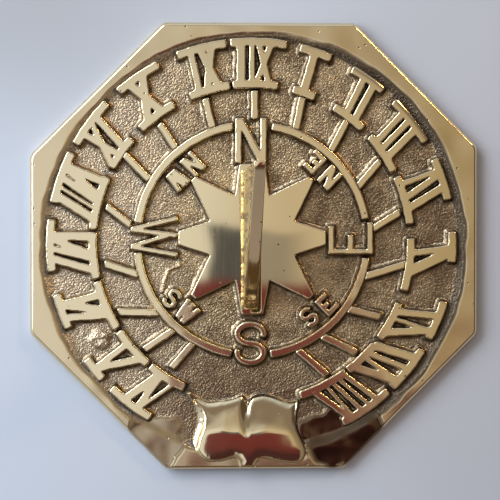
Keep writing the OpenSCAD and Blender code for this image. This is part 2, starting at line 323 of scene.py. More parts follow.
def accidents(x, y):
    lx, ly, size, high = LUMP
    ragged = 0.22 * soft_hills(x, y, 2.2, 5) + 0.12 * soft_hills(x, y, 0.9, 7)
    lump = smooth_step(1.15 - np.hypot(x - lx, y - ly) / size + ragged, 0, 0.45)
    bumps = lump * (high + 0.3 * soft_hills(x, y, 1.3, 8))
    from_vein = np.abs(distance_inside(x, y, list(zip(VEIN, VEIN[1:]))))
    bumps += VEIN_H * np.exp(-(from_vein / VEIN_W) ** 2)
    from_guide = np.hypot(x - DIAL_X, y - GUIDE_Y) - GUIDE_R
    guide = smooth_step(-y, -5, 15) * np.exp(-(from_guide / GUIDE_W) ** 2)
    bumps += GUIDE_H * guide * (0.7 + 0.5 * soft_hills(x, y, 9, 6))
    return bumps


print("height of the lump:", accidents(np.array([LUMP[0]]), np.array([LUMP[1]])).round(2), "mm")


# %% [markdown]
# The face of the plate is one height over every point. The rim rises from the ground
# in a long soft ramp, not a step, as it does once a polishing wheel has run along it.
# The ground gets hills of three sizes for sand. In the two smooth corners ground and
# rim melt into one wavy slope.

# %% Height of the plate at a point
RAMP_OUT = 1.2
RAMP_IN = 4.8
SAND_H = 0.045
GROUND_WAVE = 0.16
RIM_WAVE = 0.12
SLICK_WAVE = 0.28
SLICK_RIPPLE = 0.06
WORN_POWER = 1.7


def plate_height(x, y):
    edge = edge_distance(x, y)
    bowl = GROUND_R - np.hypot(x, y - GROUND_Y)
    inner = smooth_min(bowl, edge - RIM_W, 2.0)
    inner += 0.6 * soft_hills(x, y, 14, 2) + 0.4 * soft_hills(x, y, 5, 4)
    rise = 1 - smooth_step(inner, -RAMP_OUT, RAMP_IN)
    smooth_spot = slick(x, y)
    sandy = (1 - rise) * (1 - smooth_spot)
    z = GROUND_Z + (RIM_Z - GROUND_Z) * rise
    z += RIM_WAVE * rise * soft_hills(x, y, 11, 3)
    z += sandy * SAND_H * (soft_hills(x, y, 1.3, 11) + soft_hills(x, y, 3.1, 12))
    z += sandy * GROUND_WAVE * soft_hills(x, y, 12, 13)
    z += accidents(x, y) * (1 - rise)
    wavy = GROUND_Z + 0.5 + 0.6 * rise
    wavy += SLICK_WAVE * soft_hills(x, y, 10, 15) + SLICK_RIPPLE * soft_hills(x, y, 4, 16)
    z = z * (1 - smooth_spot) + wavy * smooth_spot
    worn = np.clip(1 - edge / BEVEL_W, 0, 1)
    z -= BEVEL_H * worn ** WORN_POWER
    return z, rise, smooth_spot


trial = plate_height(np.array([0.0, 98.0]), np.array([60.0, 0.0]))
print("height on the ground and on the rim:", trial[0].round(2))

# %% [markdown]
# Polish paste and dust gather in the ground close beside every raised device and stay
# there. So each point of the plate also learns how near the next device is, from the
# same outlines that draw the relief.

# %% Dirt beside the relief
DIRT_REACH = 3.4
BARE = ("dial_plate", "gnomon")


def beside_relief(x, y):
    """1 at the foot of a raised device, 0 further off than DIRT_REACH."""
    near = np.zeros(x.shape)
    for name in sorted(nodes):
        if name.startswith(BARE):
            continue
        edges = top_outline(name)
        low, high = edges.min(axis=(0, 1)) - DIRT_REACH, edges.max(axis=(0, 1)) + DIRT_REACH
        here = (x > low[0]) & (x < high[0]) & (y > low[1]) & (y < high[1])
        off = -distance_inside(x[here], y[here], edges)
        near[here] = np.maximum(near[here], 1 - smooth_step(off, 1.0, DIRT_REACH))
    return near


print("dirt at the foot of the N:", beside_relief(np.array([0.0]), np.array([36.0])).round(2))

# %% [markdown]
# The plate is built from rings, close together at the rim and wider apart inside. The
# outer ones follow the outline: each is found along 1100 rays by halving the distance
# until it lies just so far inside the edge. The inner ones shrink evenly to a small
# circle, and the middle stays open under the compass rose.

# %% Rings of the plate
RAYS = 1100
LAST_RING_R = 13.0
BEVEL_STEP = 0.22
RIM_STEP = 0.42
GROUND_STEP = 0.5
WALL_POLISH = 0.35
rays = np.linspace(0, 2 * np.pi, RAYS, endpoint=False)
ray_x, ray_y = np.cos(rays), np.sin(rays)


def ring_radius(inward):
    near, far = np.full(RAYS, 50.0), np.full(RAYS, 115.0)
    for _ in range(26):
        middle = (near + far) / 2
        deep = edge_distance(middle * ray_x, middle * ray_y) > inward
        near = np.where(deep, middle, near)
        far = np.where(deep, far, middle)
    return near


wall_rings = [(0.9, 0.0), (0.25, 0.0), (0.06, 0.12), (0.0, 0.4), (0.0, RIM_Z - BEVEL_H - 0.3)]
near_steps = np.concatenate([np.arange(0.0, 1.6, BEVEL_STEP), np.arange(1.6, 9.0, RIM_STEP)])
outer = ring_radius(near_steps[-1])
far_count = int((outer.min() - LAST_RING_R) / GROUND_STEP)
rows = [ring_radius(inward) for inward, _ in wall_rings]
rows += [ring_radius(inward) for inward in near_steps]
rows += [LAST_RING_R + (outer - LAST_RING_R) * (1 - i / far_count) for i in range(1, far_count + 1)]
radius = np.array(rows)
plate_x, plate_y = radius * ray_x, radius * ray_y
plate_z, rise, smooth_spot = plate_height(plate_x, plate_y)
dirt = beside_relief(plate_x, plate_y)
for row, (_, height) in enumerate(wall_rings):
    plate_z[row] = height
    rise[row] = WALL_POLISH
print("rings:", len(radius), "points:", radius.size)

# %% [markdown]
# The underside lies on its support and is flat, with two countersunk holes for the
# screws that hold the gnomon. A constrained triangulation fills the space between
# the outline and the two circles, and the cones of the holes are short rings.

# %% Underside with its screw holes
HOLE_SIDES = 40
HOLE_R = 2.05
HOLE_DEPTH = 2.6
HEAD_DEPTH = 1.8
HEAD_PLAY = 0.05
CLEAR_R = 3.6
SCREWS = ["gnomon_screw_south", "gnomon_screw_north"]
turn = np.linspace(0, 2 * np.pi, HOLE_SIDES, endpoint=False)
points = np.stack([plate_x, plate_y, plate_z], axis=2).reshape(-1, 3)
quads = ring_faces(len(radius), RAYS)
flat_points = [Vector((x, y)) for x, y in points[:RAYS, :2]]
loops = [list(range(RAYS))]
hole_points = []
for screw in SCREWS:
    low, high = box_mm(screw)
    cx, cy = (low[:2] + high[:2]) / 2
    head = (high[0] - low[0]) / 2 + HEAD_PLAY
    start = len(points) + sum(len(h) for h in hole_points)
    cone = [(head, 0.0), (head, 0.1), (HOLE_R, HEAD_DEPTH), (HOLE_R, HOLE_DEPTH), (0.02, HOLE_DEPTH)]
    hole = [(cx + r * np.cos(t), cy + r * np.sin(t), z) for r, z in cone for t in turn]
    hole_points.append(np.array(hole))
    ids = list(range(start, start + HOLE_SIDES))
    loops.append(ids[::-1])
    flat_points += [Vector((x, y)) for x, y, _ in hole[:HOLE_SIDES]]
    quads += [q[:, [0, 3, 2, 1]] for q in ring_faces(len(cone), HOLE_SIDES, start)]
order = [vertex for loop in loops for vertex in sorted(loop)]
rank = {vertex: i for i, vertex in enumerate(order)}
edges = [(rank[a], rank[b]) for loop in loops for a, b in zip(loop, loop[1:] + loop[:1])]
filled = delaunay_2d_cdt(flat_points, edges, [], 1, 1e-6)
under = np.array([[order[filled[3][v][0]] for v in face][::-1] for face in filled[2]])
hole_middles = [h[:HOLE_SIDES].mean(axis=0) for h in hole_points]
everything = np.concatenate([points] + hole_points)
centres = everything[under].mean(axis=1)
in_hole = np.zeros(len(under), bool)
for middle in hole_middles:
    in_hole |= np.hypot(centres[:, 0] - middle[0], centres[:, 1] - middle[1]) < CLEAR_R
under = under[~in_hole]
extra = len(everything) - len(points)
marks = {key: np.concatenate([value.ravel(), np.zeros(extra)])
         for key, value in (("polish", rise), ("slick", smooth_spot), ("dirt", dirt))}
dial_plate = add_piece("cast_plate", everything, quads + [under], "cast_brass_ground", **marks)
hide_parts("dial_plate")
print("plate faces:", len(dial_plate.data.polygons), "of them beneath:", len(under))

# %% [markdown]
# Each raised device is drawn from its own CAD outline. The moulded wall drops steeply
# from the polished face and ends in a long foot that flares into the ground, where
# there is open ground beside it. In the narrow slots between strokes there is no
# room for a foot, so the walls go straight down and the slot stays deep and dark.

# %% One raised piece from its outline
PITCH = 0.3
SUNK = 0.35
STEEP_W = 0.5
FOOT_W_OPEN = 1.25
FOOT_W_SLOT = 0.3


def shifted(field, reach, axis):
    """Copies of a grid, each moved along one axis, by up to reach points either way."""
    padded = np.pad(field, [(reach, reach) if i == axis else (0, 0) for i in (0, 1)], mode="edge")
    size = field.shape[axis]
    return [np.take(padded, np.arange(i, i + size), axis=axis) for i in range(2 * reach + 1)]


def blurred(field, width_mm):
    half = int(3 * width_mm / PITCH) + 1
    weights = np.exp(-0.5 * (np.arange(-half, half + 1) * PITCH / width_mm) ** 2)
    weights /= weights.sum()
    for axis in (0, 1):
        field = sum(w * copy for w, copy in zip(weights, shifted(field, half, axis)))
    return field


def lowest_near(field, reach_mm):
    for axis in (0, 1):
        field = np.min(shifted(field, int(reach_mm / PITCH), axis), axis=0)
    return field


def piece_grid(edges, margin):
    low, high = edges.min(axis=(0, 1)) - margin, edges.max(axis=(0, 1)) + margin
    xs = np.arange(low[0], high[0] + PITCH, PITCH)
    ys = np.arange(low[1], high[1] + PITCH, PITCH)
    return np.meshgrid(xs, ys, indexing="ij")


def soft_outline(x, y, edges, seed, corner=0.5, wander=0.12, thin=0.15):
    """Distance inside an outline softened as a casting is, and how open the ground is."""
    sharp = distance_inside(x, y, edges)
    open_ground = blurred(smooth_step(-lowest_near(sharp, 1.8), 0.85, 1.5), 0.4)
    soft = blurred(sharp, 0.22)
    wide = blurred(sharp, corner) + 0.05
    inside = soft * (1 - open_ground) + wide * open_ground - thin
    inside += wander * soft_hills(x, y, 2.6, seed) + 0.4 * wander * soft_hills(x, y, 1.0, seed + 1)
    return inside, open_ground


def wall_profile(inside, open_ground, edge_round, foot=0.42):
    """0 on the ground, 1 on the polished plane."""
    share = 0.10 + (foot - 0.10) * open_ground
    reach = FOOT_W_SLOT + (FOOT_W_OPEN - FOOT_W_SLOT) * open_ground
    steep = 1 + (1 - share) * inside / STEEP_W
    along_foot = (-inside - STEEP_W) / reach
    flare = share * np.clip(1 - along_foot, 0, 1) ** 1.6 - 0.12 * np.clip(along_foot - 0.75, 0, None)
    return smooth_min(np.where(inside > -STEEP_W, steep, flare), 1.0, edge_round)


def grime(shape, open_ground):
    """Where oxide stays: on the walls and their feet, and everywhere down in the slots."""
    on_wall = smooth_step(shape, 0.34, 0.56) * (1 - smooth_step(shape, 0.80, 0.97))
    on_foot = smooth_step(shape, 0.0, 0.08) * (1 - smooth_step(shape, 0.34, 0.56))
    in_slot = (1 - open_ground) * (1 - smooth_step(shape, 0.7, 0.95))
    return np.clip(0.72 * on_wall + 0.55 * on_foot + 0.40 * in_slot, 0, 0.95)


def rough_wall(x, y, polish, seed):
    """Sand left on the walls, none on the polished faces."""
    return (1 - polish) * (0.13 * soft_hills(x, y, 1.5, seed) + 0.07 * soft_hills(x, y, 0.8, seed + 1))


def add_relief(name, x, y, height, polish, cavity):
    keep = height > GROUND_Z - SUNK
    height = np.maximum(height, GROUND_Z - SUNK)
    for axis, shift in ((0, 1), (0, -1), (1, 1), (1, -1)):
        keep = keep | np.roll(keep, shift, axis=axis)
    points = np.stack([x[keep], y[keep], height[keep]], axis=1)
    piece = add_piece("cast_" + name, points, [grid_faces(keep)], "cast_brass_polished",
                      polish=polish[keep], cavity=cavity[keep])
    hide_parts(name)
    return piece


print("grid spacing", PITCH, "mm, feet sunk", SUNK, "mm into the plate")

# %% [markdown]
# Numerals, hour lines and ring arcs were ground flat on one wheel, so their tops are
# level with crisp edges. The letters are narrow and were rubbed rounder. One table
# gives the roundness of each family, and a loop makes them all. The wheel leaned on
# the outer bars of II and III and left them sloping outward.

# %% Numerals, hour lines, ring and letters
FAMILIES = {
    "numeral_": dict(edge_round=0.08, corner=0.5, thin=0.16),
    "hour_line_": dict(edge_round=0.12, corner=0.4, thin=0.20),
    "chapter_ring_": dict(edge_round=0.12, corner=0.4, thin=0.15),
    "letter_": dict(edge_round=0.25, corner=0.35, thin=0.10),
    "letters_": dict(edge_round=0.30, corner=0.25, thin=0.05),
}
LEANING = ("numeral_ii", "numeral_iii")
LEAN_W = 1.2
LEAN_SLOPE = 0.53
relief_faces = 0
for number, name in enumerate(sorted(nodes)):
    family = next((key for key in FAMILIES if name.startswith(key)), None)
    if family is None:
        continue
    look = FAMILIES[family]
    edges = top_outline(name)
    x, y = piece_grid(edges, 3.4)
    inside, open_ground = soft_outline(x, y, edges, 100 + 3 * number, look["corner"], thin=look["thin"])
    shape = wall_profile(inside, open_ground, look["edge_round"])
    polish = smooth_step(shape, 0.86, 0.985)
    height = GROUND_Z + (TOP_Z - GROUND_Z) * shape + 0.014 * polish * soft_hills(x, y, 7, number)
    height += rough_wall(x, y, polish, 300 + 2 * number)
    if name in LEANING:
        outer_end = np.hypot(edges[:, :, 0], edges[:, :, 1]).max()
        beyond = np.hypot(x, y) - outer_end + LEAN_W
        height -= LEAN_SLOPE * np.minimum((beyond + np.sqrt(beyond ** 2 + 0.1)) / 2, LEAN_W + 0.3)
    piece = add_relief(name, x, y, height, polish, grime(shape, open_ground))
    relief_faces += len(piece.data.polygons)
print("faces in numerals, lines, ring and letters:", relief_faces)

# %% [markdown]
# The compass rose is a flat mirror-bright star. Its CAD top has the seat for the
# gnomon cut into it; here the seat shows as a thin dark joint along the right foot of
# the gnomon. So the star's outline and the seat's outline are taken apart first.

# %% Compass rose
JOINT_W = 0.75
JOINT_DEPTH = 1.1

rose_edges = top_outline("compass_rose")
middle_x = np.abs(rose_edges[:, :, 0] - GNOMON_X).max(axis=1)
within_y = (rose_edges[:, :, 1].min(axis=1) > gnomon_low[1] - 0.2) & (
    rose_edges[:, :, 1].max(axis=1) < gnomon_high[1])
is_seat = (middle_x < (gnomon_high[0] - gnomon_low[0]) / 2 + 0.2) & within_y
star_edges, seat_edges = rose_edges[~is_seat], rose_edges[is_seat]
x, y = piece_grid(star_edges, 3.4)
inside, open_ground = soft_outline(x, y, star_edges, 501, 0.4, 0.07, 0.05)
shape = wall_profile(inside, open_ground, 0.08, 0.30)
polish = smooth_step(shape, 0.86, 0.985)
height = GROUND_Z + (TOP_Z - GROUND_Z) * shape
height += 0.004 * polish * soft_hills(x, y, 13, 77) + rough_wall(x, y, polish, 503)
joint = np.abs(distance_inside(x, y, seat_edges) + JOINT_W / 2)
on_right = smooth_step(x, GNOMON_X, GNOMON_X + 2) * smooth_step(y, 12, -2)
groove = on_right * (1 - smooth_step(joint, 0.15, JOINT_W))
height -= JOINT_DEPTH * groove
cavity = np.maximum(grime(shape, open_ground), groove)
rose = add_relief("compass_rose", x, y, height, polish * (1 - groove), cavity)
print("edges of the star and of the seat:", len(star_edges), len(seat_edges))

# %% [markdown]
# The cartouche is the one pillowed form on the face. A soft ridge crosses it: north of
# it the face leans toward the dial, and south of it lies a flat bow. A crease below the
# notch parts it into two lobes, and the west lobe leans less. The edges are rolled and
# droop along the north. The west flank is broader.

# %% Cartouche
RIDGE_Y = -82.0
RIDGE_SOFT = 2.0
NORTH_SLOPE = 0.15
FLAT_SPOT = (-17.0, -6.5, 0.065)
CROWN = 1.0
FLANK_W = 1.5
WEST_FLANK_W = 2.2
WEST_FLANK_IN = 1.8
SOUTH_BEVEL_W = 1.8
SOUTH_BEVEL_H = 1.6
BOW = 0.0018
BOW_TOP_Y = -90.0
ROLL_H = 0.45
ROLL_REACH = 1.1
DROOP_H = 0.45
DROOP_REACH = 2.2
CREASE = (-4.0, 1.3, 0.35)
EAST_BOW = 0.0005

edges = top_outline("cartouche")
x, y = piece_grid(edges, 5.5)
inside, _ = soft_outline(x, y, edges, 611, 0.9, 0.12, 0.0)
west = smooth_step(-x, 14, 24) * smooth_step(-y, 68, 76)
wall = FLANK_W + WEST_FLANK_W * west
climb = (inside - WEST_FLANK_IN * west) / wall + 1
flank = 0.82 * (0.45 * climb * np.abs(climb) + 0.55 * climb)
shape = smooth_min(flank, 0.85, 0.20)
beyond = y - RIDGE_Y + 0.04 * x + 1.1 * soft_hills(x, y, 8, 79)
spot_west, spot_east, spot_flat = FLAT_SPOT
spot = smooth_step(x, spot_west - 4, spot_west + 4) * smooth_step(-x, -spot_east - 3, -spot_east + 1)
lean = NORTH_SLOPE - spot_flat * spot
bow = CROWN - lean * (beyond + np.sqrt(beyond ** 2 + RIDGE_SOFT ** 2)) / 2
bow -= BOW * (y - BOW_TOP_Y) ** 2
bow -= EAST_BOW * np.clip(x + 3, 0, None) ** 2
well_in = np.clip(inside, 0, None)
roll = ROLL_H * (1 - np.exp(-well_in / ROLL_REACH))
roll -= DROOP_H * np.exp(-well_in / DROOP_REACH) * smooth_step(y, -86, -78)
crease_x, crease_w, crease_h = CREASE
crease = crease_h * np.exp(-((x - crease_x) / crease_w) ** 2) * smooth_step(y, -88, -74)
polish = smooth_step(shape, 0.25 - 0.22 * west, 0.6 - 0.35 * west)
height = GROUND_Z + (TOP_Z - GROUND_Z) * shape
height += (bow + roll - crease) * smooth_step(shape, 0.4, 0.85)
height += 0.014 * polish * soft_hills(x, y, 6, 78)
south_edge = edge_distance(x, y)
height -= SOUTH_BEVEL_H * np.clip(1 - south_edge / SOUTH_BEVEL_W, 0, 1) ** WORN_POWER
height = np.where(south_edge > 0.5, height, GROUND_Z - 2)
cartouche = add_relief("cartouche", x, y, height, polish, 0.6 * (1 - polish))
print("cartouche stands", (height.max() - GROUND_Z).round(2), "mm above the ground")

# %% [markdown]
# The gnomon is a wedge: nearly a right triangle from the side, thicker at its foot than
# along its style. It is lofted from level slices, each a rounded rectangle that runs
# from the sloping style to the back edge. The lowest slices flare on the west side
# into the bead of metal that was left along the foot. That side was never dressed, so
# it keeps upright furrows and pits.

# %% Gnomon
LATITUDE = 54.0
STYLE_SLOPE = math.tan(math.radians(LATITUDE))
BLUNT_TOE = 0.9
FOOT_Y = gnomon_low[1] - BLUNT_TOE
BACK_LEAN = 0.8
FOOT_HALF = (gnomon_high[0] - gnomon_low[0]) / 2
TOP_HALF = 2.4
EDGE_R = 0.9
TIP_R = 0.35
TIP_SLOPE = 0.07
BEAD_W = 1.0
PIT_DEPTH = 0.13
SIDE_LEVELS = 90
TIP_LEVELS = 7
ARC_POINTS = 6
SIDE_POINTS = 110

foot_levels = TOP_Z + np.array([0, 0.25, 0.5, 0.8, 1.2, 1.7, 2.3, 3.0])
side_levels = np.linspace(TOP_Z + 4, gnomon_high[2] - 1.0, SIDE_LEVELS)
tip_levels = gnomon_high[2] - TIP_R * (1 - np.sin(np.linspace(0, np.pi / 2, TIP_LEVELS)))
levels = np.concatenate([[gnomon_low[2]], foot_levels, side_levels, tip_levels])
arc = np.linspace(0, np.pi / 2, ARC_POINTS)
side_t = np.linspace(0, 1, SIDE_POINTS)[1:-1]
rings = []
marks = []
for z in levels:
    up = np.clip((z - TOP_Z) / (gnomon_high[2] - TOP_Z), 0, 1)
    pull = TIP_R - math.sqrt(max(0.0, TIP_R ** 2 - max(0.0, z - gnomon_high[2] + TIP_R) ** 2))
    half = FOOT_HALF + (TOP_HALF - FOOT_HALF) * up - pull
    bead = BEAD_W * math.exp(-max(0.0, z - TOP_Z) / 0.9)
    south = max(gnomon_low[1], FOOT_Y + (z - TOP_Z) / STYLE_SLOPE) + pull
    north = gnomon_high[1] - BACK_LEAN * (1 - up) - pull
    r = min(EDGE_R, 0.45 * (north - south))
    west, east = GNOMON_X - half - bead, GNOMON_X + half
    line = [(west + r * (1 - math.sin(t)), south + r * (1 - math.cos(t))) for t in arc[::-1]]
    mark = [1.0] * ARC_POINTS
    line += [(west + (east - west) * k, south) for k in (0.3, 0.5, 0.7)]
    mark += [1.0] * 3
    line += [(east - r * (1 - math.sin(t)), south + r * (1 - math.cos(t))) for t in arc]
    mark += [1.0] * ARC_POINTS
    line += [(east, south + r + (north - south - 2 * r) * k) for k in side_t]
    mark += [0.35] * len(side_t)
    line += [(east - r * (1 - math.cos(t)), north - r * (1 - math.sin(t))) for t in arc]
    mark += [0.5] * ARC_POINTS
    line += [(west + r * (1 - math.cos(t)), north - r * (1 - math.sin(t))) for t in arc[::-1]]
    mark += [0.5] * ARC_POINTS
    line += [(west, north - r - (north - south - 2 * r) * k) for k in side_t]
    mark += [0.0] * len(side_t)
    rings.append([(px, py, z) for px, py in line])
    marks.append(mark)
loft = np.array(rings)
marks = np.array(marks)
marks[-TIP_LEVELS:] = 1.0
tip_rows = loft[-TIP_LEVELS:]
tip_rows[:, :, 2] -= TIP_SLOPE * (gnomon_high[1] - tip_rows[:, :, 1])
rough_side = (marks < 0.3) & (loft[:, :, 2] < gnomon_high[2] - 3)
side_y, side_z = loft[:, :, 1].copy(), loft[:, :, 2] / 7 - 6
loft[:, :, 0] += rough_side * PIT_DEPTH * soft_hills(side_y, side_z, 1.3, 91)
furrows = soft_hills(side_y, side_z, 1.2, 95) + 0.6 * soft_hills(side_y, side_z, 3.1, 96)
pits = smooth_step(furrows, 0.0, 0.75)
around = loft.shape[1]
quads = ring_faces(len(levels), around)
caps = [np.arange(around)[None, ::-1], ((len(levels) - 1) * around + np.arange(around))[None]]
gnomon = add_piece("cast_gnomon", loft.reshape(-1, 3), quads + caps, "gnomon_brass",
                   polish=marks.ravel(), cavity=(0.9 * rough_side * pits).ravel())
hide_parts("gnomon")
print("gnomon stands", (gnomon_high[2] - TOP_Z).round(1), "mm above the rose")


# %% [markdown]
# The finishes are built from nodes by a few short helpers. One adds a node with its
# inputs filled or linked. The others do arithmetic, multiply several values, fade
# between two values and mix two colours, so that each finish reads as a recipe.

# %% Helpers for node recipes
def put(tree, kind, inputs=None, **settings):
    made = tree.nodes.new(kind)
    for key, value in settings.items():
        setattr(made, key, value)
    for key, value in (inputs or {}).items():
        if isinstance(value, bpy.types.NodeSocket):
            tree.links.new(value, made.inputs[key])
        else:
            made.inputs[key].default_value = value
    return made


def calc(tree, operation, a, b=0.0, c=0.0):
    return put(tree, "ShaderNodeMath", {0: a, 1: b, 2: c}, operation=operation).outputs[0]


def times(tree, first, *others):
    for other in others:
        first = calc(tree, "MULTIPLY", first, other)
    return first


def fade(tree, value, start, end, low=0.0, high=1.0):
    inputs = {"Value": value, "From Min": start, "From Max": end, "To Min": low, "To Max": high}
    return put(tree, "ShaderNodeMapRange", inputs, interpolation_type="SMOOTHSTEP").outputs[0]


def tint(tree, amount, a, b):
    a = (*a, 1.0) if isinstance(a, tuple) else a
    b = (*b, 1.0) if isinstance(b, tuple) else b
    return put(tree, "ShaderNodeMix", {0: amount, 6: a, 7: b}, data_type="RGBA").outputs[2]


def noise(tree, place, size_mm, detail=2.0, roughness=0.5):
    inputs = {"Vector": place, "Scale": 1000.0 / size_mm, "Detail": detail, "Roughness": roughness}
    return put(tree, "ShaderNodeTexNoise", inputs).outputs["Fac"]


def on_object(tree):
    return put(tree, "ShaderNodeTexCoord").outputs["Object"]


def new_group(name, inputs, outputs):
    """A node group with named sockets, and its inside ends."""
    tree = bpy.data.node_groups.new(name, "ShaderNodeTree")
    for label, kind, value in inputs:
        socket = tree.interface.new_socket(label, in_out="INPUT", socket_type=kind)
        socket.default_value = value
    for label, kind in outputs:
        tree.interface.new_socket(label, in_out="OUTPUT", socket_type=kind)
    return tree, put(tree, "NodeGroupInput").outputs, put(tree, "NodeGroupOutput").inputs


def use_group(tree, group, inputs):
    return put(tree, "ShaderNodeGroup", inputs, node_tree=group).outputs


FLOAT, COLOUR = "NodeSocketFloat", "NodeSocketColor"
print("helpers ready")

# %% [markdown]
# Sand grain is on the ground, on the walls and on the sides of the gnomon. It is a
# coarse noise with small round cells on it, as packed sand leaves them. The group
# puts out a height for the bump and a mask of the high spots, which wear bright.

# %% Node group: sand grain
sand_group, ins, outs = new_group(
    "sand_grain", [("Grain mm", FLOAT, 0.8)], [("Height", FLOAT), ("High spots", FLOAT)])
place = on_object(sand_group)
frequency = calc(sand_group, "DIVIDE", 1000.0, ins["Grain mm"])
coarse = put(sand_group, "ShaderNodeTexNoise",
             {"Vector": place, "Scale": frequency, "Detail": 3.0, "Roughness": 0.62}).outputs["Fac"]
cells = put(sand_group, "ShaderNodeTexVoronoi",
            {"Vector": place, "Scale": frequency}).outputs["Distance"]
dimples = times(sand_group, cells, 0.55)
grain = calc(sand_group, "SUBTRACT", times(sand_group, coarse, 0.8), dimples)
sand_group.links.new(grain, outs["Height"])
sand_group.links.new(fade(sand_group, grain, 0.10, 0.32), outs["High spots"])
print(sand_group.name, "has", len(sand_group.nodes), "nodes")

# %% [markdown]
# Old brass has two colours: bright metal where hands and cloths reach, and brown
# oxide where they don't. This group mixes the two by a cavity value from the mesh,
# broken up by soft clouds so that the border never runs in a clean line.

# %% Node group: brass with brown oxide
oxide_group, ins, outs = new_group(
    "brass_oxide",
    [("Metal", COLOUR, (0.9, 0.75, 0.47, 1)), ("Oxide", COLOUR, (0.2, 0.13, 0.07, 1)),
     ("Cavity", FLOAT, 0.0)],
    [("Color", COLOUR)])
place = on_object(oxide_group)
clouds = noise(oxide_group, place, 6.0, 5.0, 0.68)
spread = calc(oxide_group, "MULTIPLY_ADD", calc(oxide_group, "SUBTRACT", clouds, 0.5), 1.6, ins["Cavity"])
mask = fade(oxide_group, spread, 0.05, 0.9)
oxide_group.links.new(tint(oxide_group, mask, ins["Metal"], ins["Oxide"]), outs["Color"])
print(oxide_group.name, "has", len(oxide_group.nodes), "nodes")

# %% [markdown]
# A polished casting carries hair scratches from cloth and grit, mostly one way, and
# a few pin holes. Stretched noise makes the scratches, and small Voronoi cells of
# which only a few pass a limit make the pin holes.

# %% Node group: scratches and pin holes
wear_group, ins, outs = new_group(
    "polish_wear", [("Along", FLOAT, 40.0), ("Pin holes", FLOAT, 0.06)],
    [("Height", FLOAT), ("Scratches", FLOAT), ("Holes", FLOAT)])
place = on_object(wear_group)
stretch = put(wear_group, "ShaderNodeCombineXYZ", {"X": 3200.0, "Y": ins["Along"], "Z": 900.0}).outputs[0]
lines = put(wear_group, "ShaderNodeVectorMath", {0: place, 1: stretch}, operation="MULTIPLY").outputs[0]
hair = put(wear_group, "ShaderNodeTexNoise", {"Vector": lines, "Scale": 1.0, "Detail": 2.0}).outputs["Fac"]
scratch = fade(wear_group, hair, 0.52, 0.72)
cell = put(wear_group, "ShaderNodeTexVoronoi", {"Vector": place, "Scale": 385.0})
lucky = calc(wear_group, "LESS_THAN", put(wear_group, "ShaderNodeSeparateColor", {
    "Color": cell.outputs["Color"]}).outputs[0], ins["Pin holes"])
spot = fade(wear_group, cell.outputs["Distance"], 0.20, 0.10)
hole = times(wear_group, lucky, spot)
dents = calc(wear_group, "ADD", times(wear_group, scratch, 0.002), hole)
wear_group.links.new(times(wear_group, dents, -1.0), outs["Height"])
wear_group.links.new(scratch, outs["Scratches"])
wear_group.links.new(hole, outs["Holes"])
print(wear_group.name, "has", len(wear_group.nodes), "nodes")


# %% [markdown]
# Each finish is one Principled shader. The mesh says where the metal is polished;
# there it is a pale mirror with hair scratches, and elsewhere it is a satin wall with
# sand in it. Brown oxide stays where the mesh marks a cavity.

# %% Finish of the relief
def new_finish(name):
    material = bpy.data.materials.new(name)
    material.use_nodes = True
    tree = material.node_tree
    return material, tree, tree.nodes["Principled BSDF"]


def mesh_value(tree, name):
    return put(tree, "ShaderNodeAttribute", attribute_name=name).outputs["Fac"]


def finish_metal(tree, shader, colour, rough):
    tree.links.new(colour, shader.inputs["Base Color"])
    tree.links.new(rough, shader.inputs["Roughness"])
    shader.inputs["Metallic"].default_value = 1.0


def finish_bump(tree, shader, sand, wear, polish, sand_deep, wear_deep):
    """Sand on the raw metal, scratches and pin holes on the polished."""
    sandy = times(tree, sand["Height"], calc(tree, "SUBTRACT", 1.0, polish), sand_deep)
    worn = times(tree, wear["Height"], polish, wear_deep)
    bump = put(tree, "ShaderNodeBump", {
        "Height": calc(tree, "ADD", sandy, worn), "Distance": MM, "Strength": 1.0})
    tree.links.new(bump.outputs[0], shader.inputs["Normal"])


def brass_finish(name, bright, wall, oxide, mirror, dull, sand_mm, sand_deep, pits=0.0):
    """Polished where the mesh says so, sandy and brown elsewhere."""
    material, tree, shader = new_finish(name)
    polish = mesh_value(tree, "polish")
    sand = use_group(tree, sand_group, {"Grain mm": sand_mm})
    wear = use_group(tree, wear_group, {})
    low_spots = calc(tree, "SUBTRACT", 1.0, sand["High spots"])
    cavity = calc(tree, "MULTIPLY_ADD", low_spots, pits, mesh_value(tree, "cavity"))
    aged = use_group(tree, oxide_group, {"Metal": (*wall, 1), "Oxide": (*oxide, 1), "Cavity": cavity})
    sparkle = tint(tree, times(tree, sand["High spots"], 0.18), aged["Color"], bright)
    shine = tint(tree, wear["Holes"], bright, oxide)
    rough = fade(tree, polish, 0.0, 1.0, dull, mirror)
    rough = calc(tree, "ADD", rough, times(tree, wear["Scratches"], 0.015))
    finish_metal(tree, shader, tint(tree, polish, sparkle, shine), rough)
    finish_bump(tree, shader, sand, wear, polish, sand_deep, 0.10)
    return material


BRIGHT = (0.89, 0.76, 0.49)
WALL = (0.60, 0.48, 0.32)
OXIDE = (0.09, 0.055, 0.03)
FACE = dict(bright=BRIGHT, wall=WALL, oxide=OXIDE, dull=0.40, sand_mm=0.9, sand_deep=0.30)
relief_brass = brass_finish("polished_cast_brass", mirror=0.08, **FACE)
rose_brass = brass_finish("mirror_cast_brass", mirror=0.03, **FACE)
panel_brass = brass_finish("panel_cast_brass", mirror=0.05, **FACE)
print("relief finishes:", relief_brass.name, rose_brass.name, panel_brass.name)
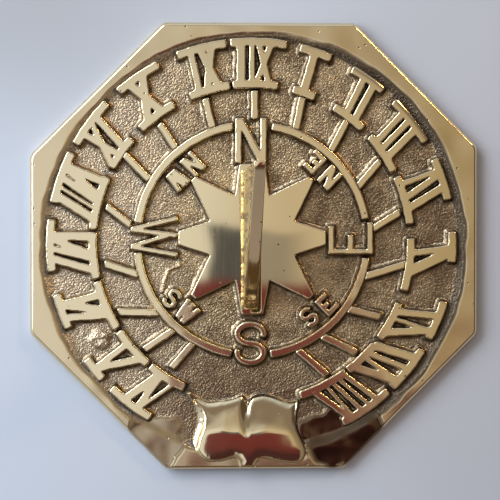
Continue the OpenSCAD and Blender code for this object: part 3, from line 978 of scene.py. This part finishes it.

# %% [markdown]
# The sunk ground is raw from the sand and brown in clouds of darker and lighter tone, with a fine even
# grain. It is painted paler toward the west, a painted highlight from the window. It is darker brown in
# the lower left, and darker toward the east as painted shade. Dark dirt lies in ragged bands beside the
# relief. Along the foot of the rim a dark band grows heavier to the right, and it is partly dirt and
# partly painted shade. On the left the dirt is painted greyer, a painted cold highlight from the window.
# The polish of the rim doesn't stop at a line: it fades out over the ramp. On the right the ramp is
# painted darker still, painted shade where its slope would catch the window. The two smooth corners are
# glossy, and the right one is the glossier; it is painted darker, a painted dark reflection.

# %% Finish of the plate
RAW_LOW = (0.27, 0.19, 0.11)
RAW_HIGH = (0.55, 0.42, 0.25)
# Painted highlight: the ground toward the window in the west is painted paler and greyer.
RAW_WEST_WINDOW_LIT = (0.70, 0.57, 0.41)
WORN_GRAIN = (0.88, 0.72, 0.48)
# Darker brown for the lower left, and for the east as painted shade away from the window.
BROWN_LOWER_LEFT_AND_EAST_SHADE = (0.20, 0.125, 0.08)
DIRT_EAST = (0.105, 0.085, 0.065)
# Painted cold highlight: the dirt on the window side is painted paler and grey-blue.
DIRT_WEST_WINDOW_LIT = (0.23, 0.23, 0.22)
RIM_BRIGHT = (0.87, 0.73, 0.46)
PIN_HOLE = (0.12, 0.07, 0.04)
SLICK_WEST = (0.60, 0.49, 0.32)
# Painted dark reflection for the smooth corner in the east.
SLICK_EAST_DARK_REFLECTION = (0.17, 0.11, 0.07)
# Painted shade for the rim ramp in the east, where its slope would catch the window.
RAMP_EAST_SHADE = (0.13, 0.10, 0.07)

ground_brass, tree, shader = new_finish("sand_cast_brass")
place = on_object(tree)
polish = mesh_value(tree, "polish")
slick_spot = mesh_value(tree, "slick")
sand = use_group(tree, sand_group, {"Grain mm": 0.85})
wear = use_group(tree, wear_group, {"Pin holes": 0.12})
spot = put(tree, "ShaderNodeSeparateXYZ", {0: place}).outputs
ragged = calc(tree, "SUBTRACT", noise(tree, place, 2.4, 4.0, 0.65), 0.5)
edge_of_polish = calc(tree, "MULTIPLY_ADD", ragged, 0.6, polish)
smooth_here = calc(tree, "MAXIMUM", fade(tree, edge_of_polish, 0.62, 0.88), slick_spot)
clouds = noise(tree, place, 11.0, 5.0, 0.62)
raw = tint(tree, fade(tree, clouds, 0.36, 0.64), RAW_LOW, RAW_HIGH)
# Painted highlight: the ground is painted paler toward the west, where the window is.
raw = tint(tree, fade(tree, spot["X"], -0.01, -0.07, 0.0, 0.75), raw, RAW_WEST_WINDOW_LIT)
raw = tint(tree, times(tree, sand["High spots"], 0.50), raw, WORN_GRAIN)
# Painted darker in the lower left, and toward the east as painted shade away from the window.
darker_lower_left_and_shaded_east = times(tree, fade(tree, spot["Y"], -0.03, -0.075), fade(tree, spot["X"], -0.06, -0.02))
darker_lower_left_and_shaded_east = calc(tree, "MAXIMUM", darker_lower_left_and_shaded_east, fade(tree, spot["X"], 0.05, 0.09, 0.0, 0.50))
raw = tint(tree, times(tree, darker_lower_left_and_shaded_east, 0.75), raw, BROWN_LOWER_LEFT_AND_EAST_SHADE)
# A dark band along the foot of the rim ramp, heavier toward the east: partly dirt and partly painted
# shade.
at_foot = times(tree, fade(tree, polish, 0.02, 0.22), fade(tree, polish, 1.0, 0.96),
                fade(tree, spot["X"], -0.06, 0.05, 0.30, 0.90))
dirt_and_rim_shade = calc(tree, "MAXIMUM", at_foot, times(tree, mesh_value(tree, "dirt"), 0.95))
dirt_and_rim_shade = calc(tree, "MULTIPLY_ADD", ragged, 1.3, dirt_and_rim_shade)
dirt_and_rim_shade = times(tree, fade(tree, dirt_and_rim_shade, 0.40, 0.95), fade(tree, clouds, 0.34, 0.52, 0.25, 0.95))
# Painted cold highlight: the dirt turns paler and grey-blue toward the window in the west.
dirt_tone_lit_west = tint(tree, fade(tree, spot["X"], 0.01, -0.06), DIRT_EAST, DIRT_WEST_WINDOW_LIT)
raw = tint(tree, dirt_and_rim_shade, raw, dirt_tone_lit_west)
shine = tint(tree, wear["Holes"], RIM_BRIGHT, PIN_HOLE)
# Painted dark reflection: the smooth corner in the east is painted dark brown, the west one pale.
slick_tone_and_reflection = tint(tree, fade(tree, spot["X"], -0.01, 0.01), SLICK_WEST, SLICK_EAST_DARK_REFLECTION)
shine = tint(tree, slick_spot, shine, slick_tone_and_reflection)
metal = tint(tree, smooth_here, raw, shine)
# Painted shade: the rim ramp on the east is painted darker, where its slope would catch the window.
shaded_right_ramp = times(tree, at_foot, fade(tree, spot["X"], 0.0, 0.05, 0.0, 0.85))
metal = tint(tree, shaded_right_ramp, metal, RAMP_EAST_SHADE)
rough = fade(tree, smooth_here, 0.0, 1.0, 0.40, 0.16)
slick_rough = times(tree, slick_spot, fade(tree, spot["X"], 0.01, -0.01, -0.03, 0.07))
finish_metal(tree, shader, metal, calc(tree, "ADD", rough, slick_rough))
finish_bump(tree, shader, sand, wear, smooth_here, 0.42, 0.12)
print("plate finish:", ground_brass.name)

# %% [markdown]
# The gnomon is yellower, because its sides were left raw: only the style is a mirror.
# The screws are turned brass and show only from beneath. Each piece now gets its finish.

# %% Finishes of the gnomon and screws, and who wears what
gnomon_brass = brass_finish(
    "gnomon_cast_brass", bright=(0.86, 0.72, 0.45), wall=(0.80, 0.63, 0.30), oxide=(0.22, 0.13, 0.05),
    mirror=0.07, dull=0.28, sand_mm=1.1, sand_deep=0.45, pits=0.25)

screw_brass, tree, shader = new_finish("turned_brass")
place = on_object(tree)
turned = noise(tree, place, 0.5, 3.0)
finish_metal(tree, shader, tint(tree, turned, (0.70, 0.56, 0.30), (0.50, 0.38, 0.20)),
             fade(tree, turned, 0.3, 0.7, 0.25, 0.42))

for piece in list(scene.objects):
    if piece.name.startswith("cast_"):
        piece.data.materials.append(relief_brass)
dial_plate.data.materials[0] = ground_brass
gnomon.data.materials[0] = gnomon_brass
rose.data.materials[0] = rose_brass
cartouche.data.materials[0] = panel_brass
for screw in SCREWS:
    for slot in nodes[screw].material_slots:
        slot.material = screw_brass

# %% [markdown]
# The dial lies on a pale, faintly blue painted board. Away from the window it is painted greyer, as
# painted shade. Mirrors that look along the board toward the south see it darker: a painted reflection,
# kept to their rays by the light path, which tells them apart from the camera's.
# Close under the window the board is painted darker, or it would burn out there.

# %% Floor
FLOOR_HALF = 3.0
PAINT_WEST = ((0.60, 0.67, 0.77), (0.64, 0.70, 0.80))
# Painted shade: the board's colours on the side away from the window.
PAINT_EAST_SHADED = ((0.545, 0.56, 0.60), (0.58, 0.59, 0.63))
PAINT_FAR_LEFT = (0.48, 0.505, 0.54)
PAINT_AT_WINDOW = (0.06, 0.065, 0.075)
# Painted reflection: the board as mirrors see it south of the dial.
PAINT_MIRRORED = (0.44, 0.37, 0.355)

floor_mesh = bpy.data.meshes.new("floor")
floor_mesh.from_pydata(
    [(-FLOOR_HALF, -FLOOR_HALF, 0), (FLOOR_HALF, -FLOOR_HALF, 0), (FLOOR_HALF, FLOOR_HALF, 0),
     (-FLOOR_HALF, FLOOR_HALF, 0)], [], [(0, 1, 2, 3)])
floor = bpy.data.objects.new("floor", floor_mesh)
scene.collection.objects.link(floor)
floor_paint, tree, shader = new_finish("painted_board")
place = on_object(tree)
spot = put(tree, "ShaderNodeSeparateXYZ", {0: place}).outputs
mottle = noise(tree, place, 60.0, 4.0)
west_paint = tint(tree, mottle, *PAINT_WEST)
# Painted shade: the board is painted greyer toward the east, away from the window.
east_paint_shaded = tint(tree, mottle, *PAINT_EAST_SHADED)
paint = tint(tree, fade(tree, spot["X"], -0.13, 0.14), west_paint, east_paint_shaded)
far_left = times(tree, fade(tree, spot["X"], 0.03, -0.10), fade(tree, spot["Y"], 0.02, 0.11))
paint = tint(tree, far_left, paint, PAINT_FAR_LEFT)
westward = times(tree, spot["X"], 0.87)
to_window = calc(tree, "SUBTRACT", times(tree, spot["Y"], 0.5), westward)
paint = tint(tree, fade(tree, to_window, 0.16, 0.60, 0.0, 0.80), paint, PAINT_AT_WINDOW)
# Painted reflection: mirror rays see the board darker and mauve south of the dial.
mirrored = times(tree, put(tree, "ShaderNodeLightPath").outputs["Is Glossy Ray"],
                fade(tree, spot["Y"], -0.104, -0.112))
tree.links.new(tint(tree, mirrored, paint, PAINT_MIRRORED), shader.inputs["Base Color"])
shader.inputs["Roughness"].default_value = 0.55
shader.inputs["Specular IOR Level"].default_value = 0.20
floor_mesh.materials.append(floor_paint)
print("floor", 2 * FLOOR_HALF, "m wide")

# %% [markdown]
# Polished brass is mostly what it reflects. A flat face seen from above mirrors a
# small patch of sky straight overhead, so that patch is painted with care: bright to
# the west, dimmer and warmer to the east, with a soft dark card near the middle and
# a deep red one to the south. A dusky belt lies round it, which keeps gentle slopes
# quiet. Lower down, the room is bright toward the north-west and brown on the other
# sides. Places in the sky are slopes from straight up: 0.1 east is 0.1 m over per metre
# up. Each edge of a card has two of them, where it begins and where the card is full.
# The camera itself sees a pale backdrop.

# %% World
SKY_WEST = (0.80, 0.83, 0.92)
SKY_MIDDLE = (0.80, 0.80, 0.81)
SKY_EAST = (0.60, 0.52, 0.42)
SKY_FAR_EAST = (0.37, 0.285, 0.15)
ROOM_BRIGHT = (0.74, 0.80, 0.92)
ROOM_BROWN = (0.10, 0.07, 0.045)
DUSK = (0.25, 0.205, 0.175)
CARD_DARK = (0.09, 0.095, 0.11)
CARD_RED = (0.165, 0.038, 0.040)
CARD_DEEP = (0.065, 0.026, 0.027)
NORTH_DIM = (0.30, 0.26, 0.22)
BACKDROP = (0.80, 0.82, 0.85, 1)
DARK_EDGES = dict(west=(0.0205, 0.0240), east=(0.048, 0.042), faint=(0.085, 0.060),
                  south=(-0.042, -0.036), north=(0.0035, 0.0))
RED_EDGES = dict(west=(-0.004, 0.008), east=(0.125, 0.095), north=(-0.027, -0.033),
                 south=(-0.62, -0.42))
LOW_RED_EDGES = dict(west=(-0.008, 0.008), east=(0.28, 0.20), north=(-0.098, -0.112))

world = bpy.data.worlds.new("studio")
world.use_nodes = True
scene.world = world
sky = world.node_tree
sky.nodes.clear()
toward = put(sky, "ShaderNodeTexCoord").outputs["Generated"]
direction = put(sky, "ShaderNodeSeparateXYZ", {0: toward})
height_up = calc(sky, "MAXIMUM", direction.outputs["Z"], 0.02)
east = calc(sky, "DIVIDE", direction.outputs["X"], height_up)
north = calc(sky, "DIVIDE", direction.outputs["Y"], height_up)
outward = calc(sky, "SQRT", calc(sky, "MULTIPLY_ADD", east, east, times(sky, north, north)))

zenith = tint(sky, fade(sky, east, -0.09, -0.01), SKY_WEST, SKY_MIDDLE)
zenith = tint(sky, fade(sky, east, 0.0, 0.07), zenith, SKY_EAST)
zenith = tint(sky, fade(sky, east, 0.09, 0.20), zenith, SKY_FAR_EAST)
zenith = tint(sky, fade(sky, north, 0.04, 0.14, 0.0, 0.50), zenith, NORTH_DIM)

uneven = calc(sky, "MULTIPLY_ADD", noise(sky, toward, 40.0, 2.0), 0.016, -0.008)
card_east = calc(sky, "ADD", east, uneven)
card_north = calc(sky, "SUBTRACT", north, uneven)
card_faint = fade(sky, card_east, *DARK_EDGES["faint"], 0.0, 0.54)
card_right = calc(sky, "MAXIMUM", fade(sky, card_east, *DARK_EDGES["east"]), card_faint)
card = times(sky, fade(sky, card_east, *DARK_EDGES["west"]), card_right,
             fade(sky, card_north, *DARK_EDGES["south"]), fade(sky, card_north, *DARK_EDGES["north"]))
zenith = tint(sky, card, zenith, CARD_DARK)
red = times(sky, fade(sky, card_east, *RED_EDGES["west"]), fade(sky, card_east, *RED_EDGES["east"]),
            fade(sky, card_north, *RED_EDGES["north"]))
low_red = times(sky, fade(sky, east, *LOW_RED_EDGES["west"]), fade(sky, east, *LOW_RED_EDGES["east"]),
                fade(sky, card_north, *LOW_RED_EDGES["north"]))
red = times(sky, calc(sky, "MAXIMUM", red, low_red), fade(sky, north, *RED_EDGES["south"]))
zenith = tint(sky, fade(sky, outward, 0.17, 0.36), zenith, DUSK)
zenith = tint(sky, red, zenith, tint(sky, fade(sky, card_north, -0.100, -0.185), CARD_RED, CARD_DEEP))

level = calc(sky, "MAXIMUM", outward, 0.05)
toward_window = calc(sky, "SUBTRACT", times(sky, north, 0.6), times(sky, east, 0.8))
toward_window = calc(sky, "DIVIDE", toward_window, level)
room = tint(sky, fade(sky, toward_window, -0.6, 0.9), ROOM_BROWN, ROOM_BRIGHT)
around_sky = tint(sky, fade(sky, outward, 0.48, 1.00), zenith, room)
seen = put(sky, "ShaderNodeLightPath").outputs["Is Camera Ray"]
light_world = put(sky, "ShaderNodeBackground", {"Color": around_sky, "Strength": 1.0})
plain_world = put(sky, "ShaderNodeBackground", {"Color": BACKDROP, "Strength": 1.0})
both = put(sky, "ShaderNodeMixShader", {0: seen, 1: light_world.outputs[0], 2: plain_world.outputs[0]})
put(sky, "ShaderNodeOutputWorld", {"Surface": both.outputs[0]})
print("world nodes:", len(sky.nodes))

# %% [markdown]
# A window high on the left, west by north-west, gives every wall on that side its cold
# highlight. A small warm lamp in the north-east, with a narrow beam,
# edges the rim there with orange. Both are area lamps, so the shadows stay soft.

# %% Lamps
def add_lamp(name, place, aim, wide, high, watts, colour, spread=180.0):
    data = bpy.data.lights.new(name, "AREA")
    data.shape = "RECTANGLE"
    data.size, data.size_y = wide, high
    data.energy = watts
    data.color = colour
    data.spread = math.radians(spread)
    lamp = bpy.data.objects.new(name, data)
    lamp.location = place
    lamp.rotation_euler = (Vector(aim) - Vector(place)).to_track_quat("-Z", "Y").to_euler()
    lamp.visible_camera = False
    scene.collection.objects.link(lamp)
    return lamp


window = add_lamp("window", place=(-1.05, 0.60, 0.71), aim=(0, 0, 0), wide=1.6, high=0.7,
                  watts=25.0, colour=(0.86, 0.93, 1.0))
warm = add_lamp("warm_lamp", place=(0.80, 0.80, 0.50), aim=(0.075, 0.085, 0), wide=0.30, high=0.30,
                watts=0.055, colour=(1.0, 0.60, 0.24), spread=10.0)
scene.view_settings.view_transform = "Standard"
print("lamps:", window.data.energy, "and", warm.data.energy, "W")

# %% [markdown]
# The last step brings the scene up to date.

# %% Update the scene
bpy.context.view_layer.update()
